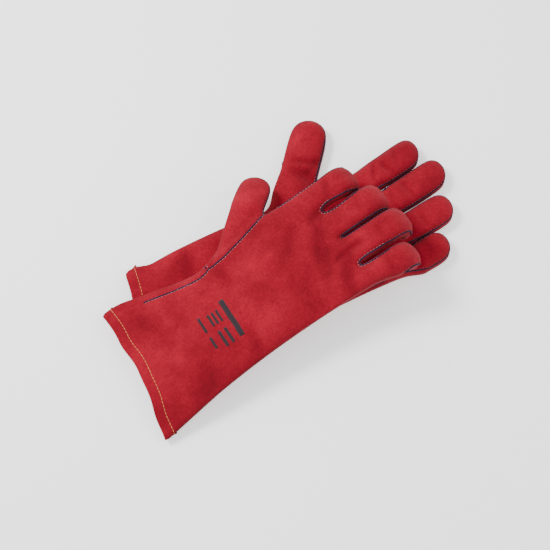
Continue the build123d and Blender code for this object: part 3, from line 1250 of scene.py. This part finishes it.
def wrist_pieces(glove, skin):
    """The wrist seam across the palm side. On the right glove it runs on up to the back's seam."""
    line = skin.over.line_points[1] if glove.palm_up else skin.under.line_points[1]
    chain = np.array(line) if glove.palm_up else skin.under_number[line]
    if not glove.palm_up:
        upper = skin.over.line_points[1]
        strip = upper[upper.index(skin.over.seam[skin.lines[1][1]]):]
        chain = np.concatenate((chain, strip[::-1][1:]))
    inner = chain[1:-1]
    piping(glove, skin, None, "wrist_welt", [inner], "wrist_welt")
    rows = [beside(skin, inner, WRIST_STITCH), beside(skin, inner, -WRIST_STITCH)]
    stitching(glove, skin, None, "wrist", rows, SEAM_THREAD)


FOLD_PROFILE = (          # into the cuff, and out from the leather's outside
    (0.0, 0.0), (-0.9, -0.25), (-1.5, -0.85), (-1.7, -1.65), (-1.5, -2.45), (-0.9, -3.0), (0.0, -3.3),
    (4.0, -3.35), (8.0, -3.35), (HEM_FOLD - 0.5, -3.3), (HEM_FOLD, -2.6), (HEM_FOLD - 0.5, -1.75),
    (8.0, -1.7), (4.0, -1.7), (0.0, -1.7),
)


def hem_pieces(glove, skin):
    """The folded edge of the cuff, and the thread that holds it."""
    loop = skin.hem_over + skin.hem_under[-2:0:-1]
    co, normals = skin.co[loop], skin.normals[loop]
    tangent = np.roll(co, -1, 0) - np.roll(co, 1, 0)
    tangent /= np.linalg.norm(tangent, axis=1)[:, None]
    inward = np.cross(normals, tangent)
    inward /= np.linalg.norm(inward, axis=1)[:, None]
    ends = glove.place(np.array(((0, 0, 0), (1, 0, 0)), float))
    inward *= np.sign(inward @ (ends[1] - ends[0]))[:, None]
    points = [co + inward * t + normals * n for t, n in FOLD_PROFILE]
    points = np.stack(points, 1).reshape(-1, 3)
    points[:, 2] = np.maximum(points[:, 2], FLOOR_CLEAR)
    faces = loft_faces(len(loop), len(FOLD_PROFILE), closed=True)
    piece = new_mesh(f"{glove.side}_cuff_hem_fold", points, faces, RED)
    finish(glove, None, piece, "red_split_leather", "cuff_hem")
    row = co + inward * HEM_STITCH
    row = np.vstack((row, row[:1]))
    stitching(glove, skin, None, "cuff_hem", [row], HEM_THREAD, stitch=3.0, gap=0.8, radius=0.27)


def lining_pieces(glove, skin):
    """The cotton inside the cuff and inside the hand."""
    x = skin.centres[:, 0]
    hand = skin.digit_of < 0
    ranges = (("lining_cuff", LINING_START, WRIST_SEAM), ("lining_hand", WRIST_SEAM, LINING_END))
    for name, low, high in ranges:
        pick = hand & (x > low) & (x < high)
        label = f"{glove.side}_{name}_cotton"
        piece = thick_piece(label, skin, pick, COTTON, LINING_IN, LINING_THICK)
        finish(glove, None, piece, "cotton_lining", name)


PRINT_BARS = (            # a plain printed mark on the cuff: ends of each bar, and its half width
    ((113, 14), (113, -30), 2.8),
    ((104, 8), (104, -6), 1.3),
    ((99, 8), (99, -6), 1.3),
    ((94, 8), (94, -6), 1.3),
    ((102, -13), (102, -31), 1.6),
    ((95, -13), (95, -31), 1.6),
    ((84, 10), (84, -8), 1.4),
    ((84, -14), (84, -27), 1.4),
)
INK_PROUD = 0.12
INK_THICK = 0.4


def ribbon(path, normals, half):
    """Points and faces of a thin strip that lies along a path, facing along the normals."""
    side = np.cross(normals, np.gradient(path, axis=0))
    side *= half / np.linalg.norm(side, axis=1)[:, None]
    top, deep = normals * INK_PROUD, normals * (INK_PROUD - INK_THICK)
    points = np.stack((path + side + deep, path - side + deep, path - side + top, path + side + top), 1)
    return points.reshape(-1, 3), loft_faces(len(path), 4)


def print_pieces(glove, skin):
    """The printed mark, as ink that stands just proud of the leather."""
    parts = []
    share = np.linspace(0, 1, 16)[:, None]
    for start, end, half in PRINT_BARS:
        line = np.array(start) * (1 - share) + np.array(end) * share
        above = glove.place(np.column_stack((line, np.full(len(line), 2.0))))
        feet, normals = zip(*(on_skin(skin, point) for point in above))
        parts.append(ribbon(np.array(feet), np.array(normals), half))
    piece = new_mesh(f"{glove.side}_cuff_print", *join_parts(parts), INK)
    finish(glove, None, piece, "welt")


def build_glove(glove):
    skin = Skin(glove)
    if not glove.palm_up:
        print_pieces(glove, skin)
    leather_pieces(glove, skin)
    seam_pieces(glove, skin)
    wrist_pieces(glove, skin)
    hem_pieces(glove, skin)
    lining_pieces(glove, skin)


# ---------------------------------------------------------------- floor, lights and camera

FLOOR_HALF = 3.0


def build_stage():
    """A plain pale floor, just below what lies on it."""
    mesh = bpy.data.meshes.new("floor")
    corners = [(-FLOOR_HALF, -FLOOR_HALF, 0), (FLOOR_HALF, -FLOOR_HALF, 0)]
    corners += [(FLOOR_HALF, FLOOR_HALF, 0), (-FLOOR_HALF, FLOOR_HALF, 0)]
    mesh.from_pydata(corners, [], [(0, 1, 2, 3)])
    material, _, shader = new_material("pale_floor", 0.9)
    shader.inputs["Base Color"].default_value = (0.95, 0.95, 0.95, 1)
    shader.inputs["Emission Color"].default_value = (1, 1, 1, 1)
    shader.inputs["Emission Strength"].default_value = 0.6
    floor = add_object("floor", mesh, material)
    floor.location.z = -0.0005


def area_light(name, at, size, energy):
    """A round light that faces the gloves."""
    light = bpy.data.lights.new(name, "AREA")
    light.shape = "DISK"
    light.size = size
    light.energy = energy
    lamp = add_object(name, light)
    lamp.location = at
    lamp.rotation_euler = Vector(at).to_track_quat("Z", "Y").to_euler()


def build_lights():
    world = bpy.data.worlds.new("studio")
    world.use_nodes = True
    background = world.node_tree.nodes["Background"]
    background.inputs["Color"].default_value = (1, 1, 1, 1)
    background.inputs["Strength"].default_value = 1.1
    bpy.context.scene.world = world
    area_light("key", (-0.55, 0.75, 1.2), 0.5, 25)
    area_light("fill", (0.9, -0.8, 1.1), 1.2, 6)


CAMERA_AZIMUTH = -29.0
CAMERA_ELEVATION = 70.0
CAMERA_DISTANCE = 1.35
CAMERA_TARGET = (-0.0179, -0.0190, 0.020)


def build_camera():
    camera = bpy.data.cameras.new("camera")
    camera.lens = 85
    camera.sensor_width = 36
    a, e = math.radians(CAMERA_AZIMUTH), math.radians(CAMERA_ELEVATION)
    back = Vector((math.sin(a) * math.cos(e), -math.cos(a) * math.cos(e), math.sin(e)))
    obj = add_object("camera", camera)
    obj.location = Vector(CAMERA_TARGET) + back * CAMERA_DISTANCE
    obj.rotation_euler = back.to_track_quat("Z", "Y").to_euler()
    bpy.context.scene.camera = obj


build_glove(LEFT)
build_glove(RIGHT)
build_stage()
build_lights()
build_camera()
